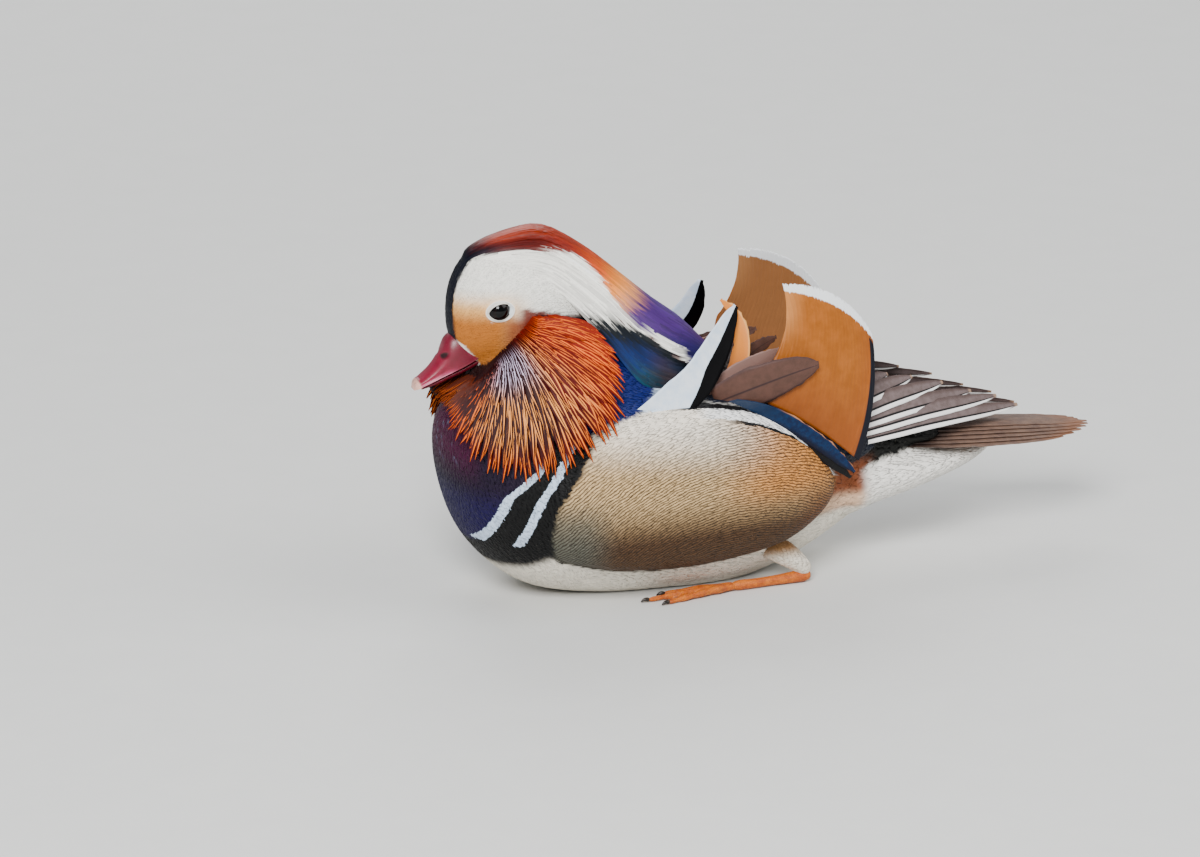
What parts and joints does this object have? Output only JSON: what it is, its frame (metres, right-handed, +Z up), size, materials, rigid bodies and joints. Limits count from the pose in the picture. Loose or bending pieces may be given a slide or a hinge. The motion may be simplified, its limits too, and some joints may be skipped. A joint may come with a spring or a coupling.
{
  "type": "mandarin duck",
  "caption": "Drake mandarin duck at life size, resting on its belly as if afloat, with a crest, a hackled ruff and upright orange sail feathers.",
  "frame": {"origin": "on the flat of the belly, at the level that the bird rests on", "axes": "+X from the bill to the tail, -Y to the bird's left side, +Z up"},
  "size_m": [0.3429, 0.1256, 0.1803],
  "materials": {
    "body_feathers": "soft feathers with a purple gloss",
    "blue_feathers": "glossy dark blue and green feathers",
    "white_feathers": "smooth white feathers",
    "crest_feathers": "long chestnut plumes",
    "ruff_feathers": "stiff orange hackles with pale shafts",
    "flank_feathers": "golden feathers with fine dark waves",
    "wing_feathers": "grey-brown flight feathers with pale edges",
    "orange_feathers": "satin orange vanes with white rims",
    "bill": "satin horn, crimson with a pale nail",
    "eye": "wet black",
    "feet": "scaly orange skin"
  },
  "bodies": {
    "root": {"torso": "body_feathers", "neck": "blue_feathers", "head": "white_feathers", "bill_upper": "bill", "bill_lower": "bill", "eye_left": "eye", "eye_right": "eye", "crest": "crest_feathers", "ruff_left": "ruff_feathers", "ruff_right": "ruff_feathers", "flank_left": "flank_feathers", "flank_right": "flank_feathers", "wing_left": "wing_feathers", "wing_right": "wing_feathers", "sail_left": "orange_feathers", "sail_right": "orange_feathers", "sickle_left": "orange_feathers", "sickle_right": "orange_feathers", "scapular_left": "white_feathers", "scapular_right": "white_feathers", "tail": "wing_feathers", "undertail": "white_feathers", "leg_left": "feet", "leg_right": "feet", "foot_left": "feet", "foot_right": "feet"}
  },
  "joints": []
}
